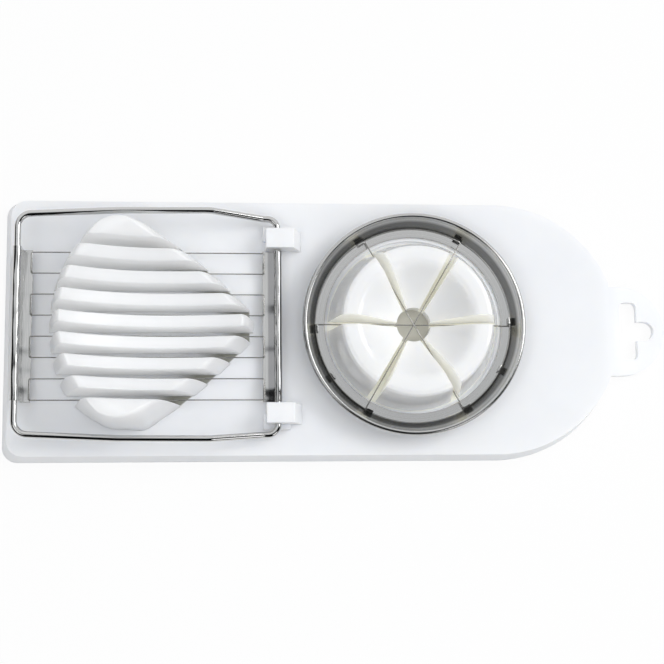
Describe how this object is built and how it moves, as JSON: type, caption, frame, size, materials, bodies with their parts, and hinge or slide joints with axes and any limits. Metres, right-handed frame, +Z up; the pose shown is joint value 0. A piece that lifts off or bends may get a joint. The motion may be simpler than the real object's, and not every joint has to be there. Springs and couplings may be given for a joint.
{
  "type": "egg slicer",
  "caption": "White plastic board with a slatted egg cradle under a hinged wire cutting bail, and a petalled wedge cup under a lift-off ring of crossing wires; hanging tab at one end.",
  "frame": {"origin": "on the table, under the middle of the overall box", "axes": "+X along the board toward the hanging tab, +Y across the board, +Z up from the table"},
  "size_m": [0.25, 0.098, 0.037],
  "materials": {
    "white_abs": "injection moulded white ABS, fine satin gloss",
    "polished_rod": "drawn and polished stainless rod",
    "folded_strip": "bright folded stainless strip",
    "cutting_wire": "drawn stainless wire",
    "pressed_ring": "deep drawn stainless, turned bead, brushed flange"
  },
  "bodies": {
    "board": {"board_deck": "white_abs", "board_skirt": "white_abs", "hanging_tab": "white_abs", "hinge_lug_1": "white_abs", "hinge_lug_2": "white_abs", "cradle_slat_1": "white_abs", "cradle_slat_2": "white_abs", "cradle_slat_3": "white_abs", "cradle_slat_4": "white_abs", "cradle_slat_5": "white_abs", "cradle_slat_6": "white_abs", "cradle_slat_7": "white_abs", "cradle_slat_8": "white_abs", "cradle_slat_9": "white_abs", "cup_petal_1": "white_abs", "cup_petal_2": "white_abs", "cup_petal_3": "white_abs", "cup_petal_4": "white_abs", "cup_petal_5": "white_abs", "cup_petal_6": "white_abs"},
    "bail": {"bail_rod": "polished_rod", "wire_strip_free": "folded_strip", "wire_strip_hinge": "folded_strip", "wire_loop_1": "cutting_wire", "wire_loop_2": "cutting_wire", "wire_loop_3": "cutting_wire", "wire_loop_4": "cutting_wire"},
    "wedger": {"wedger_ring": "pressed_ring", "wedger_wires": "cutting_wire"}
  },
  "joints": [
    {"name": "bail_hinge", "type": "hinge", "parent": "board", "child": "bail", "pos_m": [-0.0241, 0, 0.014], "axis": [0, 1, 0], "range_deg": [0, 95]},
    {"name": "wedger_lift", "type": "slide", "parent": "board", "child": "wedger", "axis": [0, 0, 1], "range_m": [0, 0.07]}
  ]
}
